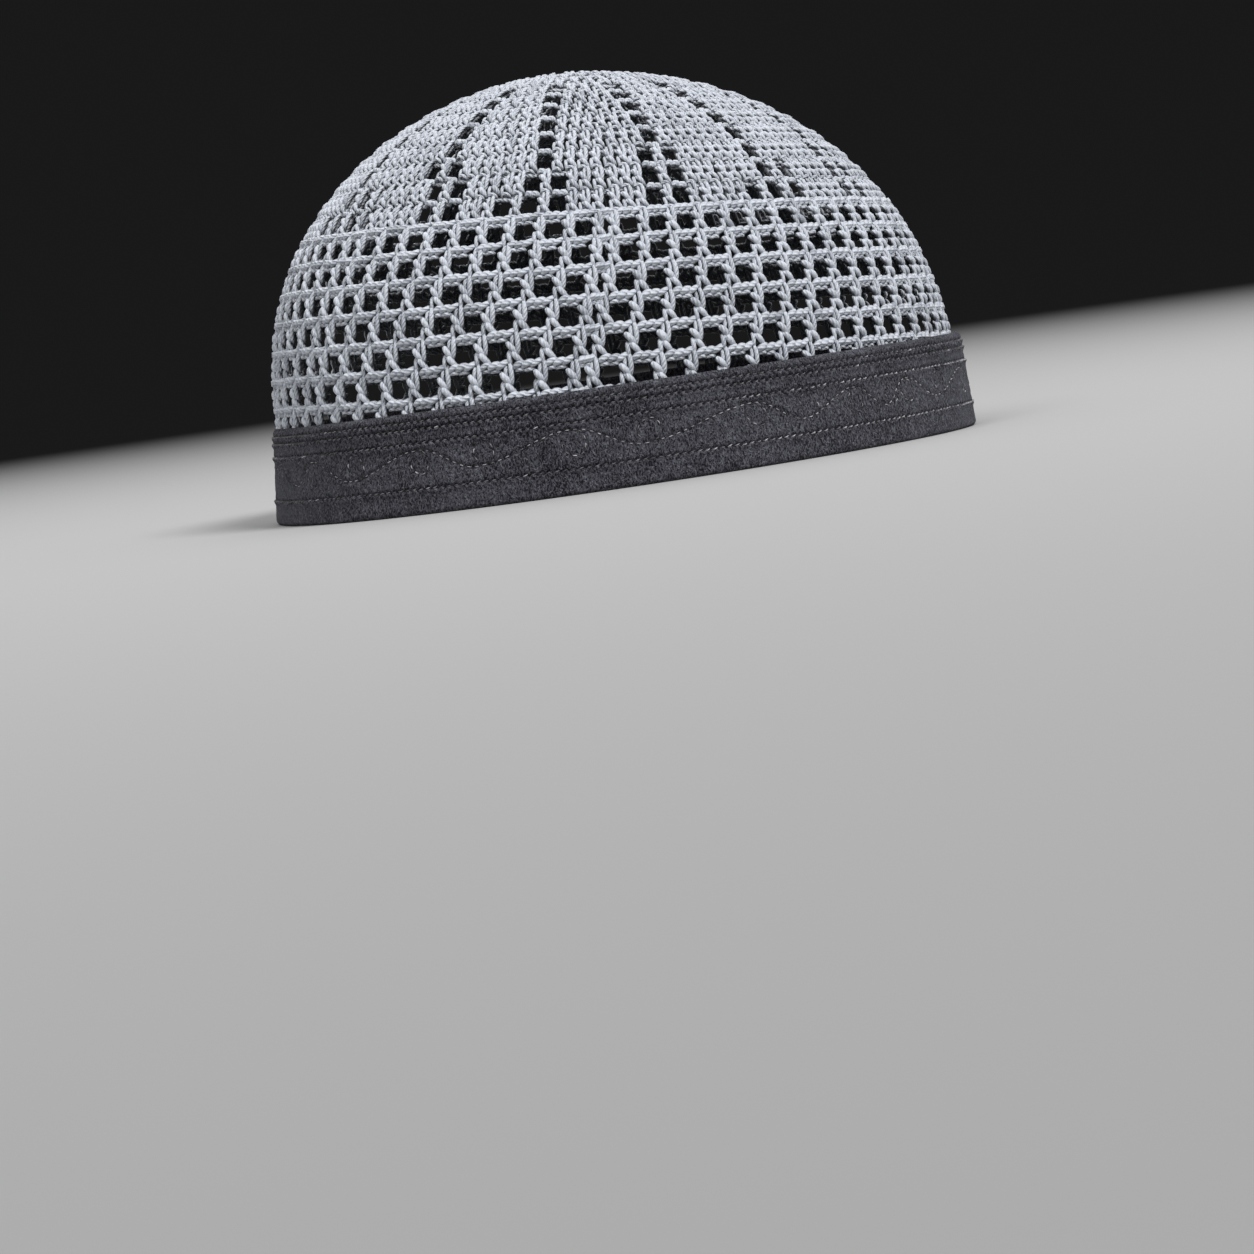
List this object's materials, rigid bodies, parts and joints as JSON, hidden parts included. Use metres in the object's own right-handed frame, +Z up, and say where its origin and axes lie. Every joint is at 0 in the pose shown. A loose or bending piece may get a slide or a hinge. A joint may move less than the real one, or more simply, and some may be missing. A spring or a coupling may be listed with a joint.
{
  "type": "kufi cap",
  "caption": "Crocheted dome cap with an open net of square gaps, a dense eyelet top and a folded quilted velvet rim band.",
  "frame": {"origin": "middle of the rim, on the plane of the band's bottom fold", "axes": "+Z up through the crown, -Y towards the cap's front, -X towards the wearer's right; the rim is longest along Y"},
  "size_m": [0.177, 0.2038, 0.1148],
  "materials": {
    "yarn": "blue-grey twisted crochet yarn",
    "velvet": "charcoal short-pile velvet, quilted"
  },
  "bodies": {
    "root": {"crown": "yarn", "band": "velvet"}
  },
  "joints": []
}
